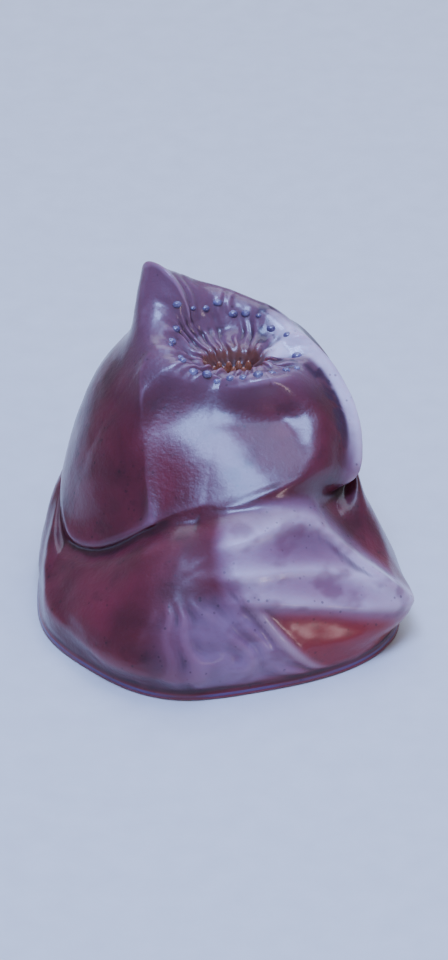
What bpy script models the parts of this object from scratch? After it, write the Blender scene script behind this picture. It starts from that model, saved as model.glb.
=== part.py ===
"""Beadlet anemone, closed and slumped, as it sits when the tide has left it.

The animal is one soft body.  Its skin is worked out from a meridian, a line that runs from the middle of
the foot out round the foot's edge, up the column, over the collar and down into the mouth.  The meridian
has one shape for each of the four sides, and blends between them.  Folds, lumps and the point of the collar
are then added along the skin's own normal, and the front of the dome is pressed flat.  Rings of that skin
part the body into its named pieces, with a thin gap between each piece and the next.  The beads inside the
collar and the tips of the tentacles in the mouth are joined to what they grow from.

Metres, +Z up; -Y is the front, where the collar is lowest, and +X is the right, where the column has
slumped into folds.  Sizes below are in millimetres and bearings in degrees from +X.
"""
import bpy
import bmesh
import numpy as np
from math import pi

MM = 0.001
GAP = 0.3                    # between neighbouring pieces
SEGMENTS = 60                # round the body

# The meridian's stations.  Each row: shift of the body's axis (x, y), then radius and height on the back,
# on the front, on the right and on the left.
STATIONS = np.array([
    (0.0, -4.0,   0.0, 0.0,     0.0, 0.0,     0.0, 0.0,     0.0, 0.0),       # 0 middle of the sole
    (0.0, -4.0,   14.0, 0.0,    14.0, 0.0,    15.0, 0.0,    14.0, 0.0),      # 1 sole
    (0.0, -4.0,   22.6, 0.0,    23.2, 0.0,    26.0, 0.0,    22.4, 0.0),      # 2 rim of the sole
    (0.0, -4.0,   23.3, 0.5,    24.0, 0.5,    26.9, 0.5,    23.2, 0.5),      # 3 foot's edge
    (0.0, -4.0,   23.1, 1.3,    23.8, 1.3,    26.7, 1.2,    23.0, 1.2),      # 4 top of the edge
    (0.0, -4.0,   23.1, 2.4,    23.8, 2.4,    27.2, 2.2,    23.0, 2.1),      # 5 groove over the edge
    (0.0, -3.5,   22.8, 5.8,    24.2, 5.3,    28.6, 4.8,    23.2, 3.6),      # 6 belly
    (-0.4, -2.5,  20.9, 10.6,   23.2, 9.3,    27.2, 8.2,    22.6, 5.1),      # 7 side
    (-0.8, -0.5,  19.7, 14.8,   20.9, 13.4,   24.2, 11.7,   21.5, 6.4),      # 8 shelf
    (-0.6, 1.5,   18.8, 18.4,   18.2, 16.9,   21.0, 14.6,   20.8, 7.4),      # 9 top of the shelf
    (-0.3, 3.8,   18.0, 21.5,   16.6, 18.1,   18.6, 15.9,   20.3, 8.0),      # 10 crease
    (0.0, 4.6,    18.3, 25.8,   15.3, 20.4,   19.4, 19.3,   20.5, 10.6),     # 11 foot of the dome
    (0.3, 6.0,    16.4, 29.9,   11.8, 25.1,   17.8, 24.0,   17.6, 21.0),     # 12 dome
    (0.6, 7.0,    13.0, 31.9,   8.6, 28.0,    15.0, 27.2,   12.0, 29.2),     # 13 shoulder
    (1.2, 7.2,    9.5, 33.2,    5.9, 30.0,    11.6, 29.5,   8.2, 32.4),      # 14 crest of the collar
    (2.0, 7.0,    7.0, 32.4,    5.0, 30.7,    8.8, 30.2,    6.2, 32.2),      # 15 inside the collar
    (2.6, 6.7,    5.8, 31.4,    4.6, 30.5,    6.4, 30.4,    5.2, 31.2),      # 16 hollow
    (3.0, 6.5,    4.4, 31.1,    4.2, 30.6,    4.5, 30.8,    4.3, 30.9),      # 17 lips
    (3.0, 6.4,    3.4, 29.8,    3.3, 29.4,    3.4, 29.6,    3.35, 29.6),     # 18 inside the lips
    (3.0, 6.4,    0.0, 28.2,    0.0, 28.2,    0.0, 28.2,    0.0, 28.2),      # 19 floor of the mouth
])
SOLE_RIM, GROOVE, SHELF, CREASE, DOME, SHOULDER = 2, 5, 8, 10, 12, 13
CREST, WALL, LIPS, MOUTH_FLOOR = 14, 15.5, 17, 19
STEPS = 60                   # fine steps from one station to the next

BACK, FRONT, RIGHT, LEFT = 0, 1, 2, 3
# Where each side's meridian lies and how far it reaches clockwise and anticlockwise: on the foot, on the
# dome.  The back takes what the others leave.
REACHES = {
    FRONT: ((-106, 30, 38), (-98, 34, 52)),
    RIGHT: ((-27, 24, 23), (0, 36, 36)),
    LEFT: ((-146, 70, 28), (-146, 70, 28)),
}

# Folds: the line that each follows as (bearing, height), how far it stands out, its reach above and below
# the line, its middle bearing and how far it runs to either side of that.
LOWER_FOLDS = {
    "shelf_fold": dict(
        line=[(-110, 15.2), (-90, 16.6), (-58, 18.2), (-44, 17.2), (-36, 14.6), (-30, 9.8), (-22, 5)],
        rise=1.3, above=2.2, below=1.3, middle=-55, run=(42, 40)),
    "ledge_fold": dict(
        line=[(-110, 13.6), (-73, 14.3), (-55, 13.8), (-37, 11.4), (-25, 7.2)],
        rise=1.0, above=1.6, below=1.2, middle=-58, run=(36, 40)),
    "second_fold": dict(
        line=[(-100, 12), (-69, 11.6), (-45, 9.2), (-31, 6.9), (-15, 5)],
        rise=1.3, above=2.2, below=1.2, middle=-50, run=(38, 45)),
    "hem_fold": dict(
        line=[(-170, 4.4), (-130, 4.0), (-100, 3.8), (-80, 3.6)],
        rise=0.45, above=2.2, below=1.4, middle=-125, run=(45, 40)),
}
UPPER_FOLDS = {
    "crown_fold": dict(
        line=[(-45, 14), (-25, 16.8), (-8, 23.4), (2, 27.0), (12, 29.6), (25, 32.0), (41, 34.4), (70, 36)],
        rise=1.9, above=2.6, below=2.3, middle=5, run=(60, 62)),
    "corner_fold": dict(
        line=[(-175, 33), (-155, 31), (-136, 28), (-124, 23), (-117, 18), (-110, 13)],
        rise=1.0, above=1.8, below=1.8, middle=-135, run=(38, 26)),
    "lip_fold": dict(
        line=[(-185, 15), (-160, 10.7), (-146, 9.9), (-130, 12.7), (-115, 17.2), (-98, 19.9), (-60, 19.8)],
        rise=0.8, above=1.3, below=0.9, middle=-120, run=(55, 65)),
}
CREST_ROUNDING = 0.45                        # of a fold's crest, as a share of its reach
SAG = 0.25                                   # share of a fold's rise by which it also hangs
PEAK = dict(bearing=136, rise=7.4, spread=(38, 24), reach=0.75, lean=0.3)  # point of the collar

# Waves round the body.  Lumps: rise, waves, phase, twist per station, middle station and reach in stations.
LUMPS = [(0.5, 3, -1.1, 0.0, 7.0, 2.0), (0.2, 11, 0.0, 0.9, 7.0, 2.5)]
OUTLINE = [(0.5, 1, 3.0), (0.2, 2, 0.1), (0.4, 3, -0.7), (0.3, 7, 0.3)]        # rise, waves, phase

# The front of the dome is pressed by three planes, each turned from the next about a slanting edge: a point
# of the middle plane, its normal and the way over the edges, the turn in degrees, the middle plane's width
# and the softness of the edges.
PRESSED_AT, PRESSED_NORMAL, PRESSED_WAY = (-0.3, -5.8, 24.75), (-0.027, -0.584, 0.811), (0.764, 0.509, 0.392)
PRESSED_TURN, PRESSED_WIDTH, PRESSED_EDGE = 15, 6.6, 0.5
# Where they press: round a middle bearing, fading in at the left and out at the right over these degrees
# from it, and fading in and out again between these stations.
PRESSED_BEARING, PRESSED_LEFT, PRESSED_RIGHT = -93, (-52, -34), (45, 80)
PRESSED_LOW, PRESSED_HIGH = (CREASE + 0.2, CREASE + 1), (CREST - 1.5, CREST - 0.1)
SLIT = 0.52                                  # the mouth's depth over its width
PLEATS, PLEAT_RISE = 13, 0.25
BEADS, BEAD_RADIUS, BEAD_SUNK = 24, 0.62, 0.45
TIPS, TIP_RADIUS, TIP_HEIGHT, TIP_PITCH, TIP_ROW = 9, 0.55, 1.7, 1.3, 0.50

# Each piece's first and last station, its rings of faces, colour and roughness.
PIECES = {
    "pedal_disc": (SOLE_RIM, GROOVE, 3, (0.110, 0.018, 0.016), 0.35),
    "column_lower": (GROOVE, SHELF, 12, (0.150, 0.012, 0.022), 0.28),
    "column_middle": (SHELF, CREASE, 5, (0.170, 0.018, 0.034), 0.28),
    "column_upper": (CREASE, SHOULDER, 9, (0.095, 0.012, 0.024), 0.25),
    "collar": (SHOULDER, WALL, 7, (0.160, 0.040, 0.080), 0.25),
    "oral_disc": (WALL, MOUTH_FLOOR, 7, (0.300, 0.070, 0.040), 0.30),
}
CUT_DIP = {GROOVE: 0.0, SHELF: 3.0, CREASE: 3.5, SHOULDER: 6.0, WALL: 6.0}  # how deep each cut is cupped
CUT_INNER, CUT_FALL = 0.78, 0.8              # a cut's inner ring: share of the rim's radius, and of the dip


# ---------------------------------------------------------------- the skin
def spline(place, table):
    """Catmull-Rom curve through the rows of a table, where place counts the rows from 0."""
    rows = np.concatenate([2 * table[:1] - table[1:2], table, 2 * table[-1:] - table[-2:-1]])
    i = np.minimum(place.astype(int), len(table) - 2)
    t = (place - i)[..., None]
    a, b, c, d = rows[i], rows[i + 1], rows[i + 2], rows[i + 3]
    return 0.5 * (2 * b + (c - a) * t + (2 * a - 5 * b + 4 * c - d) * t**2 + (3 * b - a - 3 * c + d) * t**3)


def ease(x, low, high):
    """Smooth step from 0 at low to 1 at high."""
    t = np.clip((x - low) / (high - low), 0, 1)
    return t * t * (3 - 2 * t)


def bell(x, spread):
    """Bell of height 1, which falls to about a third at its spread."""
    return np.exp(-(x / spread) ** 2)


def degrees_from(bearing, angle):
    """Signed degrees from a bearing to an angle in radians."""
    return np.degrees((angle - np.radians(bearing) + pi) % (2 * pi) - pi)


def fold(angle, height, line, rise, above, below, middle, run):
    """A fold's rise over the skin: a tight crest along its line, faded at both ends of its run.

    The corners of the line are rounded, by the mean of readings nudged a few degrees either way.
    """
    along = degrees_from(middle, angle)
    bearings = np.array([bearing - middle for bearing, _ in line], float)
    heights = np.array([level for _, level in line], float)
    level = np.mean([np.interp(along + nudge, bearings, heights) for nudge in (-8, -3, 3, 8)], axis=0)
    offset = (height - level) / np.where(height > level, above, below)
    crest = np.exp(CREST_ROUNDING - np.hypot(offset, CREST_ROUNDING))
    fade = ease(along, -run[0], -0.55 * run[0]) * (1 - ease(along, 0.6 * run[1], run[1]))
    return rise * fade * crest


def waves(angle, rows):
    """Sum of cosines round the body, each with its rise, number of waves and phase."""
    return sum(rise * np.cos(count * angle + phase) for rise, count, phase in rows)


def side_shares(angle, place):
    """Share of each side's meridian at an angle and a place, with a sum of 1: back, front, right, left."""
    risen = ease(place, SHELF, SHOULDER)
    taken = []
    for on_foot, on_dome in REACHES.values():
        bearing, clockwise, onward = [low + (high - low) * risen for low, high in zip(on_foot, on_dome)]
        aside = degrees_from(bearing, angle)
        taken.append(bell(aside, np.where(aside < 0, clockwise, onward)))
    shares = np.stack([np.clip(1 - sum(taken), 0, 1), *taken])
    return shares / shares.sum(axis=0)


def pressed(points, angle, place):
    """The skin with the front of its dome pressed: what stands out over a plane is drawn back to it."""
    foot, normal, way = [np.array(row) for row in (PRESSED_AT, PRESSED_NORMAL, PRESSED_WAY)]
    aside = degrees_from(PRESSED_BEARING, angle)
    share = ease(aside, *PRESSED_LEFT) * (1 - ease(aside, *PRESSED_RIGHT))
    share = share * ease(place, *PRESSED_LOW) * (1 - ease(place, *PRESSED_HIGH))
    for side in (-1, 0, 1):
        turn = np.radians(side * PRESSED_TURN)
        facing = np.cos(turn) * normal + np.sin(turn) * way
        distance = (points - foot - side * PRESSED_WIDTH / 2 * way) @ facing
        over = PRESSED_EDGE * np.logaddexp(0, distance / PRESSED_EDGE)
        points = points - (share * over)[..., None] * facing
    return points


def skin(angle, place):
    """Points of the skin at angles round the body and places along the meridian, given in stations."""
    angle, place = np.broadcast_arrays(angle, place)
    shares = side_shares(angle, place)
    rows = spline(place, STATIONS)
    radius = sum(shares[side] * rows[..., 2 + 2 * side] for side in (BACK, FRONT, RIGHT, LEFT))
    height = sum(shares[side] * rows[..., 3 + 2 * side] for side in (BACK, FRONT, RIGHT, LEFT))

    out, up = np.gradient(height, axis=0), -np.gradient(radius, axis=0)
    length = np.hypot(out, up) + 1e-9
    out, up = out / length, up / length

    on_column = ease(place, GROOVE - 1, GROOVE + 0.5) * (1 - ease(place, CREST, CREST + 1.2))
    on_dome = ease(place, CREASE, CREASE + 1)
    lower, upper = [sum(fold(angle, height, **shape) for shape in group.values())
                    for group in (LOWER_FOLDS, UPPER_FOLDS)]
    rise = (1 - on_dome) * lower + on_dome * upper
    for lump, count, phase, twist, middle, reach in LUMPS:
        rise = rise + lump * np.cos(count * angle + phase + twist * place) * bell(place - middle, reach)
    rise = rise * on_column
    sag = SAG * np.clip(rise, 0, None)
    aside = degrees_from(PEAK["bearing"], angle)
    peak = (PEAK["rise"] * np.exp(-np.abs(aside) / np.where(aside < 0, *PEAK["spread"]))
            * bell(place - CREST, PEAK["reach"]))
    rise = rise + peak
    radius = radius + rise * out + PEAK["lean"] * peak
    height = height + rise * up - sag

    radius = radius + waves(angle, OUTLINE) * ease(place, 1, SOLE_RIM) * (1 - ease(place, SHELF, DOME))
    pleated = ease(place, CREST - 1.2, CREST + 1.6) * (1 - ease(place, LIPS + 0.8, MOUTH_FLOOR))
    wander = PLEATS * angle + 1.3 * np.sin(2 * angle + 0.5) + 0.8 * np.sin(3 * angle)
    height = height + PLEAT_RISE * pleated * np.cos(wander) * (1 + 0.45 * np.cos(2 * angle - 1.2))

    narrowing = 1 - (1 - SLIT) * ease(place, WALL, LIPS + 1)
    x = rows[..., 0] + radius * np.cos(angle)
    y = rows[..., 1] + radius * np.sin(angle) * narrowing
    z = np.where(place <= SOLE_RIM, 0.0, np.maximum(height, 0.0))
    return pressed(np.stack([x, y, z], axis=-1), angle, place)


def even_rings(surface, count):
    """Rings set evenly along each meridian of a finely ringed surface."""
    steps = np.linalg.norm(np.diff(surface, axis=0), axis=-1)
    walked = np.concatenate([np.zeros((1, surface.shape[1])), np.cumsum(steps, axis=0)])
    walked = walked / walked[-1]
    across = np.arange(surface.shape[1])
    rings = []
    for goal in np.linspace(0, 1, count + 1):
        above = np.clip((walked < goal).sum(axis=0), 1, len(walked) - 1)
        low, high = walked[above - 1, across], walked[above, across]
        share = ((goal - low) / np.maximum(high - low, 1e-12))[:, None]
        rings.append(surface[above - 1, across] * (1 - share) + surface[above, across] * share)
    return np.stack(rings)


ANGLES = np.arange(SEGMENTS) * 2 * pi / SEGMENTS
FINE_SKIN = skin(ANGLES[None, :], np.linspace(0, MOUTH_FLOOR, MOUTH_FLOOR * STEPS + 1)[:, None])
MIDDLE = (FINE_SKIN.min(axis=(0, 1)) + FINE_SKIN.max(axis=(0, 1))) / 2 * [1, 1, 0]


# ---------------------------------------------------------------- the pieces
def cut_rings(rim, dip):
    """Inner ring and middle point of a cut, which hangs under its rim like a cup, dip deep."""
    middle = rim.mean(axis=0)
    inner = middle + CUT_INNER * (rim - middle)
    inner[:, 2] -= CUT_FALL * dip
    return inner, middle - [0, 0, dip]


def cut_shifts(rim, dip):
    """The way over the gap at a cut's rim and at its inner ring: up, and inward where the cut is a cup."""
    inward = rim.mean(axis=0) - rim
    inward[:, 2] = 0
    reach = np.linalg.norm(inward, axis=1)[:, None]
    inward = inward / reach
    slope = np.arctan2(CUT_FALL * dip, (1 - CUT_INNER) * reach.mean())
    up = np.array([0.0, 0.0, 1.0])
    return GAP * (np.sin(slope) * inward + np.cos(slope) * up), GAP * (np.sin(slope) * inward + up)


def piece_loops(first, last, count):
    """Loops of points of one piece, from the middle of the cut under it to the middle of the cut on top."""
    rings = even_rings(FINE_SKIN[int(first * STEPS):int(last * STEPS) + 1], count)
    if first == SOLE_RIM:
        middle = rings[0].mean(axis=0)
        under = [middle[None], middle + CUT_INNER * (rings[0] - middle)]
    else:
        inner, middle = cut_rings(rings[0], CUT_DIP[first])
        rim_shift, inner_shift = cut_shifts(rings[0], CUT_DIP[first])
        under = [(middle + [0, 0, GAP])[None], inner + inner_shift]
        rings[0] = rings[0] + rim_shift
    if last == MOUTH_FLOOR:
        return under + list(rings[:-1]) + [rings[-1].mean(axis=0)[None]]
    inner, middle = cut_rings(rings[-1], CUT_DIP[last])
    return under + list(rings) + [inner, middle[None]]


def flesh_material(name, colour, roughness):
    material = bpy.data.materials.new(name)
    material.use_nodes = True
    shader = material.node_tree.nodes["Principled BSDF"]
    shader.inputs["Base Color"].default_value = (*colour, 1)
    shader.inputs["Roughness"].default_value = roughness
    shader.inputs["Metallic"].default_value = 0.0
    return material


def add_piece(name, first, last, count, colour, roughness):
    """One piece of the body: its loops of points joined by faces into a closed solid."""
    bm = bmesh.new()
    points = piece_loops(first, last, count)
    loops = [[bm.verts.new((point - MIDDLE) * MM) for point in loop] for loop in points]
    for low, high in zip(loops[:-1], loops[1:]):
        for i in range(SEGMENTS):
            j = (i + 1) % SEGMENTS
            corners = [low[0]] if len(low) == 1 else [low[i], low[j]]
            corners += [high[0]] if len(high) == 1 else [high[j], high[i]]
            bm.faces.new(corners)
    bmesh.ops.triangulate(bm, faces=bm.faces, quad_method="SHORT_EDGE")
    bmesh.ops.recalc_face_normals(bm, faces=bm.faces)
    mesh = bpy.data.meshes.new(name)
    bm.to_mesh(mesh)
    bm.free()
    mesh.materials.append(flesh_material(f"{name}_flesh", colour, roughness))
    mesh.shade_smooth()
    mesh.set_sharp_from_angle(angle=np.radians(50))
    piece = bpy.data.objects.new(name, mesh)
    bpy.context.collection.objects.link(piece)
    return piece


def grow(name, balls, owner):
    """Join small round growths, each a centre and its radii, to the piece that they grow from."""
    bm = bmesh.new()
    for centre, radii in balls:
        for vert in bmesh.ops.create_icosphere(bm, subdivisions=2, radius=1.0)["verts"]:
            vert.co = [(c + r * v) * MM for c, r, v in zip(centre - MIDDLE, radii, vert.co)]
    mesh = bpy.data.meshes.new(name)
    bm.to_mesh(mesh)
    bm.free()
    grown = bpy.data.objects.new(name, mesh)
    bpy.context.collection.objects.link(grown)
    grown.hide_render = True
    grown.display_type = "WIRE"
    join = owner.modifiers.new(name, "BOOLEAN")
    join.operation = "UNION"
    join.object = grown


def bead_balls():
    """The beads, in a ring just inside the crest of the collar, each sunk into the skin."""
    angles = (np.arange(BEADS) + 0.5) * 2 * pi / BEADS
    places = np.linspace(CREST + 0.5, CREST + 0.7, 3)
    centres = skin(angles[None, :], places[:, None])[1]
    radii = BEAD_RADIUS * (1 + 0.16 * np.sin(5 * angles) + 0.1 * np.sin(11 * angles))
    return [(centre - [0, 0, BEAD_SUNK * radius], [radius] * 3) for centre, radius in zip(centres, radii)]


def tip_balls():
    """The tips of the folded tentacles, in two staggered rows on the floor of the mouth."""
    floor = FINE_SKIN[-1].mean(axis=0)
    balls = []
    for number in range(TIPS):
        across = (number - (TIPS - 1) / 2) * TIP_PITCH / 2
        row = TIP_ROW if number % 2 else -TIP_ROW
        lift = 0.2 + 0.25 * np.sin(3.0 * number)
        balls.append((floor + [across, row, lift], [TIP_RADIUS, TIP_RADIUS, TIP_HEIGHT]))
    return balls


for old in list(bpy.data.objects):
    bpy.data.objects.remove(old)
body = {name: add_piece(name, *shape) for name, shape in PIECES.items()}
grow("beads", bead_balls(), body["collar"])
grow("tentacle_tips", tip_balls(), body["oral_disc"])
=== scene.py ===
"""Looks of a beadlet anemone, closed and slumped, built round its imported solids.

One fine skin stands for all six solids of the flesh, so that no seam shows.  It follows the same meridian
and the same folds as they do, with tighter crests, and adds the wrinkles, puckers and dents of wet flesh.
The blue beads inside the collar and the tips of the tentacles in the mouth are pieces of their own.

Shapes are worked out in millimetres and bearings in degrees from +X, then brought to metres and fitted to
the box of the solids.  -Y is the front, where the collar is lowest, and +X is the right.
"""

from math import pi

import bpy
import numpy as np
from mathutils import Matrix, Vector


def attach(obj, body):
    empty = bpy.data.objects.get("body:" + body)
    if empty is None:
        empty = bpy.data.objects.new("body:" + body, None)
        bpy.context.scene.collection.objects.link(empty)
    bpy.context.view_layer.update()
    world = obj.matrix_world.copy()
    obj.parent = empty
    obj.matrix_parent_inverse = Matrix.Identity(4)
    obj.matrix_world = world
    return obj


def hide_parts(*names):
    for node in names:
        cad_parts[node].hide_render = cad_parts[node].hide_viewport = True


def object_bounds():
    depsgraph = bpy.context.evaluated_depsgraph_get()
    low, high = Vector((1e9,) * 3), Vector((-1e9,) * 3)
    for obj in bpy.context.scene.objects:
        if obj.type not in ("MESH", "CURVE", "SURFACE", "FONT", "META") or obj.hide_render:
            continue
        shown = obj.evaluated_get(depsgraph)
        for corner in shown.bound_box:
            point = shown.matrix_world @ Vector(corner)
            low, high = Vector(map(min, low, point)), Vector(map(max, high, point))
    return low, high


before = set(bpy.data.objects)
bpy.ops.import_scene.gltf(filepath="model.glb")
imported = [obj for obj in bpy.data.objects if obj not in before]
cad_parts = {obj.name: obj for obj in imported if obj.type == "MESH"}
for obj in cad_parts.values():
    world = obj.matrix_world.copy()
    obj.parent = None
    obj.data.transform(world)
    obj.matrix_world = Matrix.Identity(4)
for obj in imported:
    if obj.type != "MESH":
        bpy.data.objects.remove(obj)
CAD_LOW, CAD_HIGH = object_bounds()

# ---------------------------------------------------------------- sizes
# The meridian's stations.  Each row: shift of the body's axis (x, y), then radius and height on the back,
# on the front, on the right and on the left.
STATIONS = np.array([
    (0.0, -4.0,   0.0, 0.0,     0.0, 0.0,     0.0, 0.0,     0.0, 0.0),       # 0 middle of the sole
    (0.0, -4.0,   14.0, 0.0,    14.0, 0.0,    15.0, 0.0,    14.0, 0.0),      # 1 sole
    (0.0, -4.0,   22.6, 0.0,    23.2, 0.0,    26.0, 0.0,    22.4, 0.0),      # 2 rim of the sole
    (0.0, -4.0,   23.3, 0.5,    24.0, 0.5,    26.9, 0.5,    23.2, 0.5),      # 3 foot's edge
    (0.0, -4.0,   23.1, 1.3,    23.8, 1.3,    26.7, 1.2,    23.0, 1.2),      # 4 top of the edge
    (0.0, -4.0,   23.1, 2.4,    23.8, 2.4,    27.2, 2.2,    23.0, 2.1),      # 5 groove over the edge
    (0.0, -3.5,   22.8, 5.8,    24.2, 5.3,    28.6, 4.8,    23.2, 3.6),      # 6 belly
    (-0.4, -2.5,  20.9, 10.6,   23.2, 9.3,    27.2, 8.2,    22.6, 5.1),      # 7 side
    (-0.8, -0.5,  19.7, 14.8,   20.9, 13.4,   24.2, 11.7,   21.5, 6.4),      # 8 shelf
    (-0.6, 1.5,   18.8, 18.4,   18.2, 16.9,   21.0, 14.6,   20.8, 7.4),      # 9 top of the shelf
    (-0.3, 3.8,   18.0, 21.5,   16.6, 18.1,   18.6, 15.9,   20.3, 8.0),      # 10 crease
    (0.0, 4.6,    18.3, 25.8,   15.3, 20.4,   19.4, 19.3,   20.5, 10.6),     # 11 foot of the dome
    (0.3, 6.0,    16.4, 29.9,   11.8, 25.1,   17.8, 24.0,   17.6, 21.0),     # 12 dome
    (0.6, 7.0,    13.0, 31.9,   8.6, 28.0,    15.0, 27.2,   12.0, 29.2),     # 13 shoulder
    (1.2, 7.2,    9.5, 33.2,    5.9, 30.0,    11.6, 29.5,   8.2, 32.4),      # 14 crest of the collar
    (2.0, 7.0,    7.0, 32.4,    5.0, 30.7,    8.8, 30.2,    6.2, 32.2),      # 15 inside the collar
    (2.6, 6.7,    5.8, 31.4,    4.6, 30.5,    6.4, 30.4,    5.2, 31.2),      # 16 hollow
    (3.0, 6.5,    4.4, 31.1,    4.2, 30.6,    4.5, 30.8,    4.3, 30.9),      # 17 lips
    (3.0, 6.4,    3.4, 29.8,    3.3, 29.4,    3.4, 29.6,    3.35, 29.6),     # 18 inside the lips
    (3.0, 6.4,    0.0, 28.2,    0.0, 28.2,    0.0, 28.2,    0.0, 28.2),      # 19 floor of the mouth
])
SOLE_RIM, EDGE_TOP, GROOVE, SHELF, CREASE = 2, 4, 5, 8, 10
DOME_FOOT, DOME, SHOULDER, CREST, WALL, LIPS, MOUTH_FLOOR = 11, 12, 13, 14, 15.5, 17, 19

BACK, FRONT, RIGHT, LEFT = 0, 1, 2, 3
# Where each side's meridian lies and how far it reaches clockwise and anticlockwise: on the foot, on the
# dome.  The back takes what the others leave.
REACHES = {
    FRONT: ((-106, 30, 38), (-98, 34, 52)),
    RIGHT: ((-27, 24, 23), (0, 36, 36)),
    LEFT: ((-146, 70, 28), (-146, 70, 28)),
}

# Folds: the line that each follows as (bearing, height), how far it stands out, its reach above and below
# the line, its middle bearing and how far it runs to either side of that.
LOWER_FOLDS = {
    "shelf_fold": dict(
        line=[(-110, 15.2), (-90, 16.6), (-58, 18.2), (-44, 17.2), (-36, 14.6), (-30, 9.8), (-22, 5)],
        rise=1.3, above=2.2, below=1.3, middle=-55, run=(42, 40)),
    "ledge_fold": dict(
        line=[(-110, 13.6), (-73, 14.3), (-55, 13.8), (-37, 11.4), (-25, 7.2)],
        rise=1.0, above=1.6, below=1.2, middle=-58, run=(36, 40)),
    "second_fold": dict(
        line=[(-100, 12), (-69, 11.6), (-45, 9.2), (-31, 6.9), (-15, 5)],
        rise=1.3, above=2.2, below=1.2, middle=-50, run=(38, 45)),
    "hem_fold": dict(
        line=[(-170, 4.4), (-130, 4.0), (-100, 3.8), (-80, 3.6)],
        rise=0.45, above=2.2, below=1.4, middle=-125, run=(45, 40)),
}
UPPER_FOLDS = {
    "crown_fold": dict(
        line=[(-45, 14), (-25, 16.8), (-8, 23.4), (2, 27.0), (12, 29.6), (25, 32.0), (41, 34.4), (70, 36)],
        rise=1.9, above=1.7, below=1.5, middle=5, run=(60, 62)),
    "corner_fold": dict(
        line=[(-175, 33), (-155, 31), (-136, 28), (-124, 23), (-117, 18), (-110, 13)],
        rise=1.0, above=1.8, below=1.8, middle=-135, run=(38, 26)),
    "lip_fold": dict(
        line=[(-185, 15), (-160, 10.7), (-146, 9.9), (-130, 12.7), (-115, 17.2), (-98, 19.9), (-60, 19.8)],
        rise=0.8, above=1.3, below=0.9, middle=-120, run=(55, 65)),
}
CREST_ROUNDING = 0.16                        # of a fold's crest, as a share of its reach
CORNER_ROUNDING = (-8, -3, 3, 8)             # degrees by which the readings of a fold's line are nudged
FADE_IN, FADE_OUT = 0.55, 0.6                # shares of a fold's run at which its fades end and begin
SAG = 0.25                                   # share of a fold's rise by which it also hangs
PAINTED_SHEEN_SHARES = {"hem_fold": 0.3, "corner_fold": 0.6}                 # share of a fold's crest in the painted sheen, where it isn't 1
FOLD_RISE = 1.5                              # of a fold whose crest takes the painted sheen to the full
PEAK = dict(bearing=136, rise=7.4, spread=(38, 24), reach=0.75, lean=0.3)  # point of the collar

# Waves round the body.  Lumps: rise, waves, phase, twist per station, middle station and reach in stations.
LUMPS = [(0.5, 3, -1.1, 0.0, 7.0, 2.0), (0.2, 11, 0.0, 0.9, 7.0, 2.5)]
OUTLINE = [(0.5, 1, 3.0), (0.2, 2, 0.1), (0.4, 3, -0.7), (0.3, 7, 0.3)]        # rise, waves, phase

BAND_WIDENING = 1.7                          # of a band of painted lilac sheen over its fold
# The drapes at the front: their left edge, and their right edge at one place with its lean per station from
# there, in degrees; then how many there are.  They fade in and out between these stations, and to the left
# and right over these degrees from the edges.
DRAPES_LEFT, DRAPES_RIGHT, DRAPES_LEAN, DRAPES_PLACE, DRAPES = -104, -66, 8, 6.3, 4
DRAPES_LOW, DRAPES_HIGH, DRAPES_IN, DRAPES_OUT, WELT_WIDTH = (4.2, 5.2), (7.0, 8.0), (-9, 16), (-5, 1), 2.0
DRAPE_RISE, WELT_RISE = 0.22, 0.3
# The front of the dome is pressed by three planes, each turned from the next about a slanting edge: a point
# of the middle plane, its normal and the way over the edges, the turn in degrees, the middle plane's width
# and the softness of the edges.
PRESSED_AT, PRESSED_NORMAL, PRESSED_WAY = (-0.3, -5.8, 24.75), (-0.027, -0.584, 0.811), (0.764, 0.509, 0.392)
PRESSED_TURN, PRESSED_WIDTH, PRESSED_EDGE = 15, 6.6, 0.5
# Where they press: round a middle bearing, fading in at the left and out at the right over these degrees
# from it, and fading in and out again between these stations.
PRESSED_BEARING, PRESSED_LEFT, PRESSED_RIGHT = -93, (-52, -34), (45, 80)
PRESSED_LOW, PRESSED_HIGH = (CREASE + 0.2, CREASE + 1), (CREST - 1.5, CREST - 0.1)
SLIT = 0.52                                  # the mouth's depth over its width
PLEATS, PLEAT_RISE = 13, 0.25
PLEAT_WANDER = [(1.3, 2, 0.5 - pi / 2), (0.8, 3, -pi / 2)]                     # rise, waves, phase
PLEAT_SWELL = [(0.45, 2, -1.2)]                                                # rise, waves, phase
BEADS, BEAD_RADIUS, BEAD_SUNK = 24, 0.62, 0.45
TIPS, TIP_RADIUS, TIP_HEIGHT, TIP_PITCH, TIP_ROW = 9, 0.55, 1.7, 1.3, 0.50

# Relief of wet flesh: how high each kind of swell stands, how far it repeats, and the seed of its dice.
DENTS, DIMPLES, GRAIN = (0.07, 9.0, 1), (0.022, 3.6, 2), (0.004, 1.5, 4)
# Wrinkles: their rise everywhere and more of it in patches, their width, the share by which the body is
# squeezed for them, and the millimetres that a station counts for, with the seed of their dice.
WRINKLE_RISE, WRINKLE_PATCHES, WRINKLE_WIDTH = 0.004, 0.014, 3.0
WRINKLE_SQUEEZE, WRINKLE_STEP, WRINKLE_SEED = 0.33, 3.0, 3
# Swells that bend or fade the wrinkles, puckers and drapes: how far each repeats, and the seed of its dice.
PATCHES, PUCKER_BEND, PUCKER_FADE, DRAPE_BEND, DRAPE_FADE = (14.0, 6), (6.0, 5), (4.0, 7), (7.0, 8), (5.0, 9)
CALM, CALM_SPREAD = 0.7, 48                  # share of the relief lost on the pressed front, and its degrees
PUCKERS, PUCKER_RISE = 27, 0.10
PUCKER_WANDER = [(2.5, 3, -pi / 2), (1.5, 5, -pi / 2)]                         # rise, waves, phase
MOUTH_CALM = 0.8                             # share of the relief lost inside the lips

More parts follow.
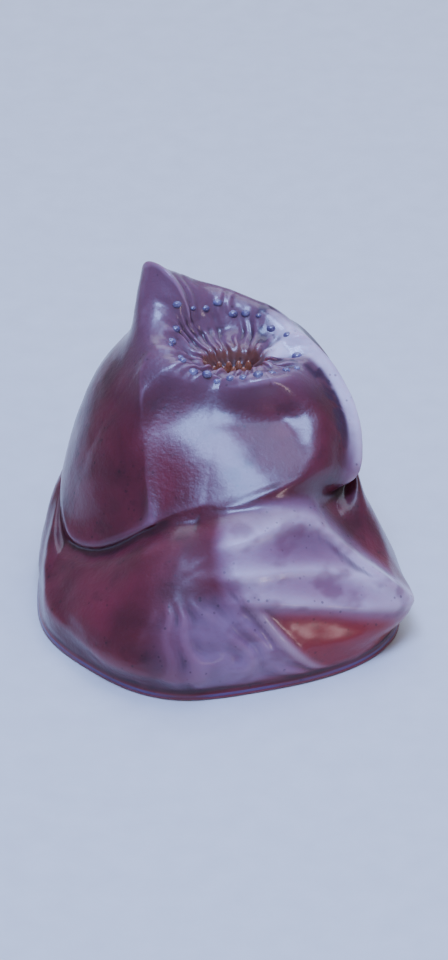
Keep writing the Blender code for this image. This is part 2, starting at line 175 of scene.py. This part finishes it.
AROUND, SOLE_RINGS, SKIN_RINGS, STEPS = 400, 3, 244, 60      # the skin's grid, and fine steps per station
FINE_REACH, WIDE_REACH = 3, 9                # neighbours over which crests and wide folds are read
FINE_HEIGHT, WIDE_HEIGHT = 0.10, 0.6         # millimetres over the neighbours that read as 1
FIT = 0.999                                  # size of the skin as a share of the box of the solids
WAVES = 28                                   # plane waves in one random swell


# ---------------------------------------------------------------- curves and waves
def spline(place, table):
    """Catmull-Rom curve through the rows of a table, where place counts the rows from 0."""
    rows = np.concatenate([2 * table[:1] - table[1:2], table, 2 * table[-1:] - table[-2:-1]])
    i = np.minimum(place.astype(int), len(table) - 2)
    t = (place - i)[..., None]
    a, b, c, d = rows[i], rows[i + 1], rows[i + 2], rows[i + 3]
    return 0.5 * (2 * b + (c - a) * t + (2 * a - 5 * b + 4 * c - d) * t**2 + (3 * b - a - 3 * c + d) * t**3)


def ease(x, low, high):
    """Smooth step from 0 at low to 1 at high: 3 t squared less 2 t cubed."""
    t = np.clip((x - low) / (high - low), 0, 1)
    return t * t * (3 - 2 * t)


def between(x, rising, falling):
    """Share that fades in over one range of x and out again over another."""
    return ease(x, *rising) * (1 - ease(x, *falling))


def bell(x, spread):
    """Bell of height 1: e to the power of minus the square of x over its spread."""
    return np.exp(-(x / spread) ** 2)


def degrees_from(bearing, angle):
    """Signed degrees from a bearing to an angle in radians."""
    return np.degrees((angle - np.radians(bearing) + pi) % (2 * pi) - pi)


def swell(points, size, seed):
    """Random swell of about -1 to 1: the sum of plane waves in random directions, as long as size."""
    dice = np.random.default_rng(seed)
    aims = dice.normal(size=(WAVES, 3))
    aims /= np.linalg.norm(aims, axis=1)[:, None]
    lengths = size * dice.uniform(0.7, 1.6, WAVES)
    phases = dice.uniform(0, 2 * pi, WAVES)
    return np.cos(points @ (aims.T * 2 * pi / lengths) + phases).sum(axis=-1) / WAVES ** 0.5


def bulges(points, size, seed):
    """Swell folded at zero into round bulges parted by thin creases, of about -1 in a crease to 1."""
    return 2 * np.sqrt(swell(points, size, seed) ** 2 + 0.01) - 1


# ---------------------------------------------------------------- the skin
def fold(angle, height, line, rise, above, below, middle, run, widening=1.0):
    """A fold's rise over the skin: a tight crest along its line, faded at both ends of its run.

    The corners of the line are rounded, by the mean of readings nudged a few degrees either way.
    """
    along = degrees_from(middle, angle)
    bearings = np.array([bearing - middle for bearing, _ in line], float)
    heights = np.array([level for _, level in line], float)
    level = np.mean([np.interp(along + nudge, bearings, heights) for nudge in CORNER_ROUNDING],
                    axis=0)
    offset = (height - level) / (widening * np.where(height > level, above, below))
    crest = np.exp(CREST_ROUNDING - np.hypot(offset, CREST_ROUNDING))
    fade = between(along, (-run[0], -FADE_IN * run[0]), (FADE_OUT * run[1], run[1]))
    return rise * fade * crest


def waves(angle, rows):
    """Sum of cosines round the body, each with its rise, number of waves and phase."""
    return sum(rise * np.cos(count * angle + phase) for rise, count, phase in rows)


def side_shares(angle, place):
    """Share of each side's meridian at an angle and a place, with a sum of 1: back, front, right, left."""
    risen = ease(place, SHELF, SHOULDER)
    taken = []
    for on_foot, on_dome in REACHES.values():
        bearing, clockwise, onward = [low + (high - low) * risen for low, high in zip(on_foot, on_dome)]
        aside = degrees_from(bearing, angle)
        taken.append(bell(aside, np.where(aside < 0, clockwise, onward)))
    shares = np.stack([np.clip(1 - sum(taken), 0, 1), *taken])
    return shares / shares.sum(axis=0)


def meridian(angle, place):
    """Radius, height and axis of the plain body: the four meridians mixed by their shares at each angle."""
    shares = side_shares(angle, place)
    rows = spline(place, STATIONS)
    radius = sum(shares[side] * rows[..., 2 + 2 * side] for side in (BACK, FRONT, RIGHT, LEFT))
    height = sum(shares[side] * rows[..., 3 + 2 * side] for side in (BACK, FRONT, RIGHT, LEFT))
    return radius, height, rows[..., :2]


def folds(angle, height, place, sheen_shares=None, widening=1.0):
    """Rise of all the folds: the lower ones under the crease, the upper ones over it.

    Where a table of shares of painted sheen is given, each fold's rise counts by its share in it, or in full.
    """
    on_dome = ease(place, CREASE, DOME_FOOT)
    lower, upper = [sum((sheen_shares or {}).get(name, 1.0) * fold(angle, height, widening=widening, **shape)
                        for name, shape in group.items())
                    for group in (LOWER_FOLDS, UPPER_FOLDS)]
    return (1 - on_dome) * lower + on_dome * upper


def body(angle, place):
    """Points of the body at angles round it and places along the meridian, given in stations.

    Folds, lumps and the point of the collar are added along the meridian's normal, the pleats of the mouth
    to its height.
    """
    angle, place = np.broadcast_arrays(angle, place)
    radius, height, axis = meridian(angle, place)
    out, up = np.gradient(height, axis=0), -np.gradient(radius, axis=0)
    length = np.hypot(out, up) + 1e-9
    out, up = out / length, up / length

    on_column = between(place, (EDGE_TOP, GROOVE + 0.5), (CREST, CREST + 1.2))
    rise = folds(angle, height, place)
    for lump, count, phase, twist, middle, reach in LUMPS:
        rise = rise + lump * np.cos(count * angle + phase + twist * place) * bell(place - middle, reach)
    rise = rise * on_column
    sag = SAG * np.clip(rise, 0, None)
    aside = degrees_from(PEAK["bearing"], angle)
    peak = (PEAK["rise"] * np.exp(-np.abs(aside) / np.where(aside < 0, *PEAK["spread"]))
            * bell(place - CREST, PEAK["reach"]))
    rise = rise + peak
    radius = radius + rise * out + PEAK["lean"] * peak
    height = height + rise * up - sag

    radius = radius + waves(angle, OUTLINE) * between(place, (SOLE_RIM - 1, SOLE_RIM), (SHELF, DOME))
    pleated = between(place, (CREST - 1.2, CREST + 1.6), (LIPS + 0.8, MOUTH_FLOOR))
    wander = PLEATS * angle + waves(angle, PLEAT_WANDER)
    height = height + PLEAT_RISE * pleated * np.cos(wander) * (1 + waves(angle, PLEAT_SWELL))

    narrowing = 1 - (1 - SLIT) * ease(place, WALL, LIPS + 1)
    x = axis[..., 0] + radius * np.cos(angle)
    y = axis[..., 1] + radius * np.sin(angle) * narrowing
    z = np.where(place <= SOLE_RIM, 0.0, np.maximum(height, 0.0))
    return np.stack([x, y, z], axis=-1)


def even_places(angle, first, last, count):
    """Places from first to last, with a row of them for each ring, that part each meridian evenly."""
    place = np.linspace(first, last, int((last - first) * STEPS) + 1)
    points = body(angle[None, :], place[:, None])
    steps = np.linalg.norm(np.diff(points, axis=0), axis=-1)
    walked = np.concatenate([np.zeros((1, len(angle))), np.cumsum(steps, axis=0)])
    goals = np.linspace(0, 1, count + 1)
    return np.stack([np.interp(goals, column / column[-1], place) for column in walked.T], axis=1)


def around_and_along(grid, reach):
    """Mean of a grid's values over a square of neighbours, with rings that close and meridians that end."""
    total = sum(np.roll(grid, shift, axis=1) for shift in range(-reach, reach + 1)) / (2 * reach + 1)
    padded = np.concatenate([total[:1]] * reach + [total] + [total[-1:]] * reach)
    rows = len(grid)
    return sum(padded[shift:shift + rows] for shift in range(2 * reach + 1)) / (2 * reach + 1)


def outward(points):
    """Unit normals of a grid of points: the slope round the body crossed with the slope up the meridian."""
    across = np.roll(points, -1, axis=1) - np.roll(points, 1, axis=1)
    normal = np.cross(across, np.gradient(points, axis=0))
    return normal / (np.linalg.norm(normal, axis=-1)[..., None] + 1e-12)


def pressed(points, angle, place):
    """The body with the front of its dome pressed by the three planes.

    What stands out over a plane is drawn back to it, by edge times the logarithm of 1 + e to the distance
    over the edge, so that the flats meet in soft edges.
    """
    foot, normal, way = [np.array(row) for row in (PRESSED_AT, PRESSED_NORMAL, PRESSED_WAY)]
    aside = degrees_from(PRESSED_BEARING, angle)
    share = between(aside, PRESSED_LEFT, PRESSED_RIGHT) * between(place, PRESSED_LOW, PRESSED_HIGH)
    for side in (-1, 0, 1):
        turn = np.radians(side * PRESSED_TURN)
        facing = np.cos(turn) * normal + np.sin(turn) * way
        distance = (points - foot - side * PRESSED_WIDTH / 2 * way) @ facing
        over = PRESSED_EDGE * np.logaddexp(0, distance / PRESSED_EDGE)
        points = points - (share * over)[..., None] * facing
    return points


def draped(angle, place):
    """The drapes at the front, over the foot, that fan out downwards.

    Returns how much the skin hangs in them, the welt along their right edge, and the way across them from 0
    at the left edge to 1 at the right one.
    """
    right = DRAPES_LEAN * (DRAPES_PLACE - place)
    aside = degrees_from(DRAPES_RIGHT, angle) - right
    width = DRAPES_RIGHT - DRAPES_LEFT + right
    level = between(place, DRAPES_LOW, DRAPES_HIGH)
    hanging = ease(aside + width, *DRAPES_IN) * (1 - ease(aside, *DRAPES_OUT))
    return level * hanging, level * bell(aside, WELT_WIDTH), 1 + aside / width


def wrinkled(points, angle, place):
    """The body with the fine relief of wet flesh, added along its normal.

    Dents, dimples and grain lie all over it, fainter on the pressed front of the dome.  Wrinkles run round
    the column in patches, as bulges read on points squeezed to a third round the body and set apart by
    their station.  Radial puckers gather round the mouth, and steep drapes hang at the front.
    """
    on_body = ease(place, SOLE_RIM, GROOVE)
    at_mouth = ease(place, CREST - 0.4, CREST + 1)
    in_mouth = ease(place, LIPS, LIPS + 1)
    ringwise = points * [WRINKLE_SQUEEZE, WRINKLE_SQUEEZE, 0.0] + place[..., None] * [0.0, 0.0, WRINKLE_STEP]
    creased = ease(swell(points, *PATCHES), -0.2, 1.2)
    relief = sum(rise * swell(points, size, seed) for rise, size, seed in (DENTS, DIMPLES, GRAIN))
    wrinkle_rise = WRINKLE_RISE + WRINKLE_PATCHES * creased
    relief = relief + (1 - at_mouth) * wrinkle_rise * bulges(ringwise, WRINKLE_WIDTH, WRINKLE_SEED)
    stretched = bell(degrees_from(PRESSED_BEARING, angle), CALM_SPREAD) * ease(place, CREASE, DOME_FOOT)
    relief = relief * (1 - CALM * stretched * (1 - at_mouth))
    fans = PUCKERS * angle + waves(angle, PUCKER_WANDER) + 2.5 * swell(points, *PUCKER_BEND)
    puckered = PUCKER_RISE * np.cos(fans) * (1 + 0.5 * swell(points, *PUCKER_FADE))
    relief = relief + puckered * at_mouth * (1 - in_mouth)
    hanging, welt, across = draped(angle, place)
    pulled = np.cos(2 * pi * DRAPES * across + 2.2 * swell(points, *DRAPE_BEND))
    pulled = pulled * (1 + 0.5 * swell(points, *DRAPE_FADE)) * hanging
    relief = relief + DRAPE_RISE * pulled + WELT_RISE * welt
    return points + (relief * on_body * (1 - MOUTH_CALM * in_mouth))[..., None] * outward(points)


def skin_grid():
    """Grid of the skin's points, in millimetres, with the angle and place of each: sole, then body."""
    angle = np.arange(AROUND) * 2 * pi / AROUND
    sole = np.broadcast_to(np.linspace(0, SOLE_RIM, SOLE_RINGS + 1)[:-1, None], (SOLE_RINGS, AROUND))
    place = np.concatenate([sole, even_places(angle, SOLE_RIM, MOUTH_FLOOR, SKIN_RINGS)])
    angle = np.broadcast_to(angle, place.shape)
    points = wrinkled(pressed(body(angle, place), angle, place), angle, place)
    points[..., 2] = np.where(place <= SOLE_RIM, 0.0, np.maximum(points[..., 2], 0.0))
    return points, angle, place


def fitting(points):
    """Function that brings millimetres to metres: the skin's box is set in the box of the solids."""
    low, high = points.min(axis=(0, 1)), points.max(axis=(0, 1))
    middle = (low + high) / 2 * [1, 1, 0]
    scale = ((np.array(CAD_HIGH) - np.array(CAD_LOW)) / (high - low)).min() * FIT
    seat = (np.array(CAD_LOW) + np.array(CAD_HIGH)) / 2 * [1, 1, 0]
    return lambda spots: (np.asarray(spots) - middle) * scale + seat


# ---------------------------------------------------------------- meshes
def add_mesh(name, points, faces, readings=None):
    """Mesh object at the origin, with its place in its points and its readings as attributes."""
    mesh = bpy.data.meshes.new(name)
    mesh.from_pydata(points.reshape(-1, 3).tolist(), [], [tuple(face) for face in faces])
    for label, values in (readings or {}).items():
        mesh.attributes.new(label, "FLOAT", "POINT").data.foreach_set("value", values.ravel())
    mesh.shade_smooth()
    piece = bpy.data.objects.new(name, mesh)
    bpy.context.scene.collection.objects.link(piece)
    return piece


def grid_faces(rings, around):
    """Quads between the rings of a grid that closes round, seen from outside anticlockwise."""
    ring, side = np.arange(rings - 1)[:, None] * around, np.arange(around)[None, :]
    beside = (side + 1) % around
    corners = [ring + side, ring + beside, ring + around + beside, ring + around + side]
    return np.stack(corners, -1).reshape(-1, 4)


def capped_faces(rings, around, start=0):
    """Faces of a grid closed at both ends by a fan round one point, which follow the grid's points."""
    side = np.arange(around)
    beside = (side + 1) % around
    low, high, last = rings * around, rings * around + 1, (rings - 1) * around
    bottom = np.stack([np.full(around, low), beside, side], -1) + start
    top = np.stack([np.full(around, high), last + side, last + beside], -1) + start
    return (grid_faces(rings, around) + start).tolist() + bottom.tolist() + top.tolist()


def add_skin(grid, angle, place, fit):
    """The skin: the grid closed by one point at the middle of the sole and one on the floor of the mouth.

    Crests and hollows are read from the skin itself, as its height over the mean of its neighbours, and
    bloom is how much a wide fold stands out.
    """
    facing = outward(grid)
    fine = ((grid - around_and_along(grid, FINE_REACH)) * facing).sum(-1) / FINE_HEIGHT
    wide = ((grid - around_and_along(grid, WIDE_REACH)) * facing).sum(-1) / WIDE_HEIGHT
    ends = [grid[0].mean(axis=0), grid[-1].mean(axis=0)]
    inner = slice(1, -1)

    def closed(values):
        return np.concatenate([values[inner].ravel(), [values[0].mean(), values[-1].mean()]])

    points = np.concatenate([grid[inner].reshape(-1, 3), ends])
    height = meridian(angle, place)[1]
    # Readings that place the painted sheen on the folds: their tight crests, and bands widened over them.
    standing, band = [folds(angle, height, place, PAINTED_SHEEN_SHARES, widening) / FOLD_RISE
                      for widening in (1.0, BAND_WIDENING)]
    hanging, welt, _ = draped(angle, place)
    readings = {"crest": np.clip(fine, -1, 1), "bloom": np.clip(wide, -1, 1), "fold": standing, "band": band,
                "drape": hanging, "welt": welt, "place": place}
    readings = {label: closed(values) for label, values in readings.items()}
    return add_mesh("skin", fit(points), capped_faces(len(grid) - 2, AROUND), readings)


def balls(name, centres, radii, fit, around=20, rings=10):
    """Round growths in one mesh: latitude rings from pole to pole, scaled by each growth's radii."""
    turn = np.arange(around) * 2 * pi / around
    rise = (np.arange(rings) + 1) * pi / (rings + 1) - pi / 2
    shell = np.stack([np.cos(rise)[:, None] * np.cos(turn), np.cos(rise)[:, None] * np.sin(turn),
                      np.sin(rise)[:, None] * np.ones(around)], -1).reshape(-1, 3)
    shell = np.concatenate([shell, [(0, 0, -1), (0, 0, 1)]])
    points = np.asarray(centres)[:, None] + np.asarray(radii)[:, None] * shell
    faces = [capped_faces(rings, around, number * len(shell)) for number in range(len(points))]
    return add_mesh(name, fit(points), sum(faces, []))


def add_beads(fit):
    """The beads, in an uneven ring just inside the crest of the collar, each sunk into the skin."""
    number = np.arange(BEADS)
    angles = (number + 0.5 + 0.16 * np.sin(7.0 * number)) * 2 * pi / BEADS
    places = CREST + 0.6 + 0.13 * np.sin(4.0 * number)
    centres = np.stack([body(np.array([[angle]]), np.linspace(place - 0.1, place + 0.1, 3)[:, None])[1, 0]
                        for angle, place in zip(angles, places)])
    radii = BEAD_RADIUS * (0.86 + 0.16 * np.sin(5 * angles) + 0.12 * np.sin(11 * angles))
    centres[:, 2] -= (BEAD_SUNK + 0.2 * np.sin(3.0 * number)) * radii
    return balls("beads", centres, radii[:, None] * [1.15, 1, 0.9], fit)


def add_tips(grid, fit):
    """The tips of the folded tentacles, in two staggered rows on the floor of the mouth."""
    number = np.arange(TIPS)
    across = (number - (TIPS - 1) / 2) * TIP_PITCH / 2
    row = np.where(number % 2, TIP_ROW, -TIP_ROW)
    lift = 0.2 + 0.25 * np.sin(3.0 * number)
    centres = grid[-1].mean(axis=0) + np.stack([across, row, lift], -1)
    return balls("tentacle_tips", centres, np.tile([TIP_RADIUS, TIP_RADIUS, TIP_HEIGHT], (TIPS, 1)), fit)


# ---------------------------------------------------------------- materials
class Value:
    """One output socket of a material's nodes.  Sums and products of values add Math nodes."""

    def __init__(self, tree, socket):
        self.tree, self.socket = tree, socket

    def node(self, kind, settings, inputs, output=0):
        """Add a node of a kind: its settings first, then the values or links of its sockets."""
        node = self.tree.nodes.new(kind)
        for name, setting in settings.items():
            if name == "stops":
                for spot in range(len(setting) - 2):
                    node.color_ramp.elements.new(0.5)
                for element, (position, colour) in zip(node.color_ramp.elements, setting):
                    element.position, element.color = position, (*colour, 1)
            else:
                setattr(node, name, setting)
        for name, value in inputs.items():
            if isinstance(value, Value):
                self.tree.links.new(value.socket, node.inputs[name])
            else:
                node.inputs[name].default_value = value
        return Value(self.tree, node.outputs[output])

    def maths(self, operation, first, second):
        """Add a Math node on two numbers or values."""
        return self.node("ShaderNodeMath", {"operation": operation}, {0: first, 1: second})

    def __add__(self, other): return self.maths("ADD", self, other)
    def __radd__(self, other): return self.maths("ADD", other, self)
    def __mul__(self, other): return self.maths("MULTIPLY", self, other)
    def __rsub__(self, other): return self.maths("SUBTRACT", other, self)

    def step(self, low, high):
        """Smooth step of this value from 0 at low to 1 at high."""
        settings = {"interpolation_type": "SMOOTHSTEP"}
        return self.node("ShaderNodeMapRange", settings, {"Value": self, "From Min": low, "From Max": high})

    def between(self, rising, falling):
        """Share that fades in over one range of this value and out again over another."""
        return self.step(*rising) * (1 - self.step(*falling))

    def ramp(self, *stops):
        """Colour that this value picks, from stops that are each a position and a colour."""
        return self.node("ShaderNodeValToRGB", {"stops": stops}, {"Fac": self})

    def towards(self, colour, share):
        """This colour mixed with another by a share."""
        settings = {"data_type": "RGBA", "blend_type": "MIX", "clamp_factor": True}
        return self.node("ShaderNodeMix", settings, {0: share, 6: self, 7: (*colour, 1)}, output=2)


class Paint:
    """A material and the values that its sums start from."""

    def __init__(self, name):
        self.material = bpy.data.materials.new(name)
        self.material.use_nodes = True
        self.tree = self.material.node_tree
        self.shader = self.tree.nodes["Principled BSDF"]
        self.start = Value(self.tree, None)
        self.spot = self.start.node("ShaderNodeTexCoord", {}, {}, output="Object")
        self.right = self.start.node("ShaderNodeSeparateXYZ", {}, {0: self.spot}, output="X")
        self.back = self.start.node("ShaderNodeSeparateXYZ", {}, {0: self.spot}, output="Y")

    def reading(self, name):
        """One of the skin's own readings."""
        return self.start.node("ShaderNodeAttribute", {"attribute_name": name}, {}, output="Fac")

    def noise(self, size, detail=2.0, roughness=0.5, stretch=(1, 1, 1), warp=0.0):
        """Cloudy noise of about 0 to 1, with patches of a size in metres."""
        spot = self.start.node("ShaderNodeMapping", {}, {"Vector": self.spot, "Scale": stretch})
        inputs = {"Vector": spot, "Scale": 1 / size, "Detail": detail, "Roughness": roughness,
                  "Distortion": warp}
        return self.start.node("ShaderNodeTexNoise", {}, inputs, output="Fac")

    def cells(self, size):
        """Distance to the nearest of scattered points, a size in metres apart."""
        inputs = {"Vector": self.spot, "Scale": 1 / size}
        return self.start.node("ShaderNodeTexVoronoi", {"feature": "F1"}, inputs, output="Distance")

    def finish(self, piece, colour, roughness, height=None, depth=0.0, **others):
        """Link what varies, set what is the same all over, and give the material to its piece."""
        self.tree.links.new(colour.socket, self.shader.inputs["Base Color"])
        self.tree.links.new(roughness.socket, self.shader.inputs["Roughness"])
        if height is not None:
            bump = height.node("ShaderNodeBump", {}, {"Height": height, "Strength": 1.0, "Distance": depth})
            self.tree.links.new(bump.socket, self.shader.inputs["Normal"])
        for name, value in others.items():
            socket = self.shader.inputs[name.replace("_", " ")]
            if isinstance(value, Value):
                self.tree.links.new(value.socket, socket)
            else:
                socket.default_value = value
        piece.data.materials.append(self.material)


# Colours of the flesh: its ground, then the lower right face in a redder tone with painted warm light and a
# painted glow through its thin right edge, blotches, and painted light on swollen places.
DEEP_MAROON, MAROON, RED_MAROON = (0.056, 0.007, 0.016), (0.108, 0.011, 0.026), (0.168, 0.017, 0.038)
CRIMSON, EDGE_GLOW = (0.300, 0.014, 0.022), (0.260, 0.065, 0.020)
DARK_PLUM, ROSE_LIGHT = (0.025, 0.004, 0.011), (0.250, 0.030, 0.040)
# Painted sheen on the collar and on the drapes, and a painted highlight on their welt; the folds' bands of
# painted sheen, their mottles and painted highlights on their crests and the crown ridge; painted light on
# fine crests and painted shade in creases.
MAUVE_SHEEN, DRAPE_SHEEN, WELT_HIGHLIGHT = (0.170, 0.075, 0.125), (0.290, 0.170, 0.290), (0.460, 0.330, 0.420)
BAND_SHEEN, MOTTLE, CREST_HIGHLIGHT = (0.320, 0.170, 0.270), (0.160, 0.045, 0.085), (0.600, 0.470, 0.570)
CROWN_HIGHLIGHT, CREST_LIGHT, SHADE = (0.660, 0.560, 0.680), (0.400, 0.230, 0.330), (0.015, 0.002, 0.008)
# Small marks: dark nicks of painted shade and random flecks; the blue line round the foot; and the mouth,
# with painted shade deep in it.
NICK_SHADE, FLECK, BLUE_HEM = (0.035, 0.009, 0.034), (0.020, 0.004, 0.012), (0.050, 0.080, 0.260)
MOUTH_BROWN, THROAT_SHADE = (0.150, 0.040, 0.020), (0.030, 0.006, 0.006)
# Stops of the colours of the beads and of the tentacle tips.
BEAD_STOPS = (0.35, (0.090, 0.060, 0.140)), (0.65, (0.200, 0.170, 0.300))
TIP_STOPS = (0.35, (0.190, 0.050, 0.024)), (0.65, (0.380, 0.150, 0.085))
# Where each look lies, in stations: it fades in over the first range and, where there are two, out again over
# the second.  The painted light of the rose on swollen places fades out over its range.
FACE, HEM, DULL = ((3.5, 5.0), (7.6, 8.6)), ((2.75, 2.95), (3.25, 3.5)), ((5.3, 6.5), (9.2, 9.8))
ROSE_ENDS, ON_DOME, COLLAR = (9.0, 11.0), (DOME_FOOT, DOME), (12.3, 14.6)
MOUTH, DEEP_MOUTH = (16.3, 17.6), (17.6, 18.6)


def wet_flesh(skin):
    """The skin: maroon, crimson at the lower right, painted sheen mauve on top and pale on folds, a brown
    mouth.
    """
    paint = Paint("wet_flesh")
    crest, bloom, place = paint.reading("crest"), paint.reading("bloom"), paint.reading("place")
    standing, band, drape = paint.reading("fold"), paint.reading("band"), paint.reading("drape")
    clouds = paint.noise(0.011, detail=3.0, warp=0.4)
    blotches = paint.noise(0.0032, detail=4.0, roughness=0.6)
    grain = paint.noise(0.0006, detail=3.0, roughness=0.6)
    mottles = paint.noise(0.0046, stretch=(1, 1, 1.8)).step(0.46, 0.66)
    face = place.between(*FACE) * paint.right.step(0.000, 0.012) * (1 - paint.back.step(-0.016, -0.004))
    collar, on_dome = place.step(*COLLAR), place.step(*ON_DOME)

    colour = clouds.ramp((0.30, DEEP_MAROON), (0.50, MAROON), (0.72, RED_MAROON))
    # The lower right face in crimson: a redder tone of the flesh with painted warm light on that face.
    colour = colour.towards(CRIMSON, face * (0.2 + blotches * 0.9))
    # Painted glow of light through the thin right edge of that face, in orange.
    colour = colour.towards(EDGE_GLOW, face * paint.right.step(0.018, 0.026) * 0.5)
    colour = colour.towards(DARK_PLUM, blotches.step(0.52, 0.75) * 0.5)
    # Painted light: rose where wide folds bulge out, fading out towards the dome.
    colour = colour.towards(ROSE_LIGHT, bloom.step(0.1, 0.9) * (1 - place.step(*ROSE_ENDS)) * 0.5)
    # Painted sheen: mauve on the collar and top, standing for the sky's reflection on wet flesh.
    colour = colour.towards(MAUVE_SHEEN, collar * 0.85)
    # Painted sheen in lilac on the drapes, and a painted highlight in pink along their welt.
    colour = colour.towards(DRAPE_SHEEN, drape * (0.2 + clouds))
    colour = colour.towards(WELT_HIGHLIGHT, paint.reading("welt") * (0.1 + clouds * 0.9))
    # Painted sheen: lilac bands over the folds, and painted highlights on their crests.
    broad = band.step(0.35, 1.1)
    colour = colour.towards(BAND_SHEEN, broad * (0.3 + clouds * 0.9))
    colour = colour.towards(CREST_HIGHLIGHT, standing.step(0.55, 1.1) * (0.3 + clouds * 0.8))
    colour = colour.towards(MOTTLE, (broad + drape).step(0.2, 0.8) * mottles * 0.55)
    # Painted highlight: the pale band along the crown ridge on the dome.
    colour = colour.towards(CROWN_HIGHLIGHT, band.step(0.5, 0.9) * on_dome * (0.2 + blotches * 1.1))
    # Painted light: fine crests made lighter, more on the collar.
    colour = colour.towards(CREST_LIGHT, crest.step(0.25, 1.0) * (0.1 + collar * 0.4))
    # Painted shade: hollows between fine crests made darker, less in the drapes.
    colour = colour.towards(SHADE, (0 - crest).step(0.2, 1.0) * (0.6 - drape * 0.5))
    # Painted shade: dark nicks inside the crown ridge on the right, standing for the shade in small dents.
    nick_shade = band.between((0.12, 0.30), (0.55, 0.80)) * on_dome * paint.right.step(0.0, 0.004)
    nick_shade = nick_shade * paint.noise(0.0024, detail=1.0, warp=0.5).step(0.47, 0.60)
    colour = colour.towards(NICK_SHADE, nick_shade * 0.85)
    colour = colour.towards(MOUTH_BROWN, place.step(*MOUTH) * 0.85)
    # Painted shade: darker deep in the mouth.
    colour = colour.towards(THROAT_SHADE, place.step(*DEEP_MOUTH) * 0.7)
    flecks = paint.cells(0.0011).step(0.22, 0.12)
    colour = colour.towards(FLECK, flecks * blotches.step(0.45, 0.6) * 0.5)
    colour = colour.towards(BLUE_HEM, place.between(*HEM) * clouds.step(0.3, 0.5) * 0.55)

    dull = place.between(*DULL) * paint.right.between((-0.013, -0.007), (0.000, 0.006))
    roughness = 0.24 + grain * 0.12 + blotches * 0.14 + dull * 0.25
    height = grain * 0.6 + blotches * 0.4
    paint.finish(skin, colour, roughness, height, 0.00010,
                 Subsurface_Weight=0.25, Subsurface_Radius=(1.0, 0.2, 0.2), Subsurface_Scale=0.003,
                 Coat_Weight=0.7 - dull * 0.55, Coat_Roughness=0.15, Coat_IOR=1.38, IOR=1.40)


def growth_finish(name, piece, size, stops, roughness, radius):
    """Wet finish of small round growths, in a colour that varies in patches of a size."""
    paint = Paint(name)
    clouds = paint.noise(size)
    paint.finish(piece, clouds.ramp(*stops), roughness + clouds * 0.1, Subsurface_Weight=0.4,
                 Subsurface_Radius=radius, Subsurface_Scale=0.001, Coat_Weight=0.5, Coat_Roughness=0.05)


# ---------------------------------------------------------------- the pieces
grid, angles, places = skin_grid()
fit = fitting(grid)
skin = add_skin(grid, angles, places, fit)
beads = add_beads(fit)
tips = add_tips(grid, fit)
wet_flesh(skin)
growth_finish("blue_bead", beads, 0.0012, BEAD_STOPS, 0.18, (0.4, 0.5, 1.0))
growth_finish("tentacle_flesh", tips, 0.0010, TIP_STOPS, 0.20, (1.0, 0.4, 0.2))
for piece in (skin, beads, tips):
    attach(piece, "root")
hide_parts("pedal_disc", "column_lower", "column_middle", "column_upper", "collar", "oral_disc")


# ---------------------------------------------------------------- floor, lights and camera
AIM_LEVEL = 0.44                             # of the camera, as a share of the body's height
BODY_MIDDLE = Vector(((CAD_LOW.x + CAD_HIGH.x) / 2, (CAD_LOW.y + CAD_HIGH.y) / 2, AIM_LEVEL * CAD_HIGH.z))
ELEVATION, DISTANCE, SENSOR = np.radians(33), 0.55, 36.0                       # of the camera
FILLED = 0.86                                # share of the frame's width that the body takes
# Lamps: where each stands, the height over the floor that it aims at, its width and height, its power and
# its colour.
LAMPS = {
    "sky": ((0.05, 0.42, 0.62), 0.02, (0.80, 0.50), 3.6, (0.66, 0.76, 1.0)),
    "clouds": ((0.20, 0.06, 0.62), 0.02, (0.26, 0.22), 1.1, (0.38, 0.50, 1.0)),
    "window": ((-0.03, -0.14, 0.56), 0.02, (0.20, 0.16), 2.6, (0.34, 0.50, 1.0)),
    "window_glow": ((-0.035, -0.145, 0.58), 0.02, (0.30, 0.24), 2.6, (0.28, 0.42, 1.0)),
    "lamp": ((0.45, -0.45, 0.22), 0.015, (0.10, 0.10), 0.4, (1.0, 0.80, 0.82)),
}
FLOOR_HALF = 3.0
ROOM_COLOUR, ROOM_STRENGTH = (0.75, 0.80, 0.90, 1), 0.35


def add_floor():
    """Plain pale floor, level with the sole."""
    corners = FLOOR_HALF * np.array([(-1, -1, 0), (1, -1, 0), (1, 1, 0), (-1, 1, 0)])
    floor = add_mesh("floor", corners, [(0, 1, 2, 3)])
    paint = Paint("pale_floor")
    speckle = paint.noise(0.004, detail=3.0)
    colour = speckle.ramp((0.3, (0.66, 0.65, 0.63)), (0.7, (0.70, 0.69, 0.67)))
    paint.finish(floor, colour, 0.75 + speckle * 0.1)


def add_lamp(name, place, aim, size, power, colour):
    """Soft rectangular lamp that faces a point over the middle of the floor."""
    lamp = bpy.data.lights.new(name, "AREA")
    lamp.shape = "RECTANGLE"
    lamp.size, lamp.size_y = size
    lamp.energy, lamp.color = power, colour
    holder = bpy.data.objects.new(name, lamp)
    bpy.context.scene.collection.objects.link(holder)
    holder.location = place
    holder.rotation_euler = (Vector((0, 0, aim)) - Vector(place)).to_track_quat("-Z", "Y").to_euler()


def add_camera():
    """Camera in front of the body and above it, from which the body nearly fills the width."""
    camera = bpy.data.cameras.new("camera")
    camera.sensor_fit, camera.sensor_width = "HORIZONTAL", SENSOR
    camera.lens = SENSOR * FILLED * DISTANCE / (CAD_HIGH.x - CAD_LOW.x)
    holder = bpy.data.objects.new("camera", camera)
    bpy.context.scene.collection.objects.link(holder)
    back = Vector((0, -np.cos(ELEVATION), np.sin(ELEVATION)))
    holder.location = BODY_MIDDLE + back * DISTANCE
    holder.rotation_euler = (-back).to_track_quat("-Z", "Y").to_euler()
    bpy.context.scene.camera = holder


def add_room():
    """Faint even light from all round."""
    room = bpy.data.worlds.new("room")
    room.use_nodes = True
    background = room.node_tree.nodes["Background"]
    background.inputs["Color"].default_value = ROOM_COLOUR
    background.inputs["Strength"].default_value = ROOM_STRENGTH
    bpy.context.scene.world = room


add_floor()
for name, lamp in LAMPS.items():
    add_lamp(name, *lamp)
add_camera()
add_room()
